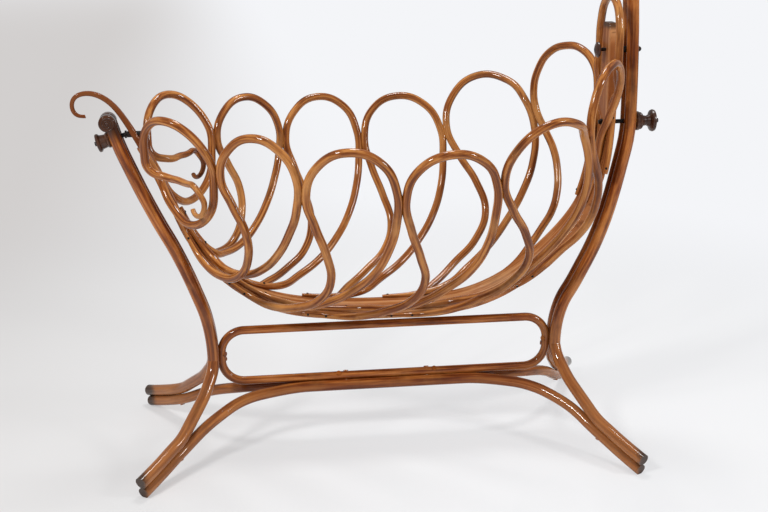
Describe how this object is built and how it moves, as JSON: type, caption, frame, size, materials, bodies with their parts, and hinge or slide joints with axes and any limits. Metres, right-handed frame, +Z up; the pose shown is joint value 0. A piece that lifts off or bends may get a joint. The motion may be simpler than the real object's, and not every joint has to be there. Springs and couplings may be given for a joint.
{
  "type": "bentwood swing cradle",
  "caption": "Bentwood cradle: a basket of looped bent rods on a curved spine board, swinging on pins between splayed rod posts with a tall crooked mast at the head and a swing lock.",
  "frame": {"origin": "floor under the middle of the object's outline box", "axes": "+X to the head end with the mast, +Y to the back, +Z up; the floor is z = 0"},
  "size_m": [1.3477, 0.761, 1.9446],
  "materials": {
    "stand_rod": "glossy red-brown stained bent beech",
    "loop_rod": "glossy honey-brown stained bent beech",
    "board": "worn tan-brown stained beech",
    "dark_knob": "nearly black turned wood",
    "iron": "blackened iron"
  },
  "bodies": {
    "stand": {"foot_post_front": "stand_rod", "foot_post_back": "stand_rod", "head_post_front": "stand_rod", "head_post_back": "stand_rod", "arch_front": "stand_rod", "arch_back": "stand_rod", "ring": "stand_rod", "foot_pivot_bolt": "iron", "head_pivot_bolt": "iron", "foot_pivot_knob": "dark_knob", "head_pivot_knob": "dark_knob", "lock_keeper": "iron", "ring_end_screws": "iron", "arch_screws": "iron", "foot_screws": "iron"},
    "basket": {"spine_board": "board", "foot_bush": "iron", "head_bush": "iron", "head_loop": "loop_rod", "loop_1_front": "loop_rod", "loop_1_back": "loop_rod", "loop_2_front": "loop_rod", "loop_2_back": "loop_rod", "loop_3_front": "loop_rod", "loop_3_back": "loop_rod", "loop_4_front": "loop_rod", "loop_4_back": "loop_rod", "loop_5_front": "loop_rod", "loop_5_back": "loop_rod", "loop_6_front": "loop_rod", "loop_6_back": "loop_rod"},
    "lock_pin": {"lock_pin": "iron", "lock_knob": "dark_knob"}
  },
  "joints": [
    {"name": "swing", "type": "hinge", "parent": "stand", "child": "basket", "pos_m": [0, 0, 0.76], "axis": [1, 0, 0], "range_deg": [-20, 20]},
    {"name": "lock_slide", "type": "slide", "parent": "basket", "child": "lock_pin", "axis": [1, 0, 0], "range_m": [0, 0.014]}
  ]
}
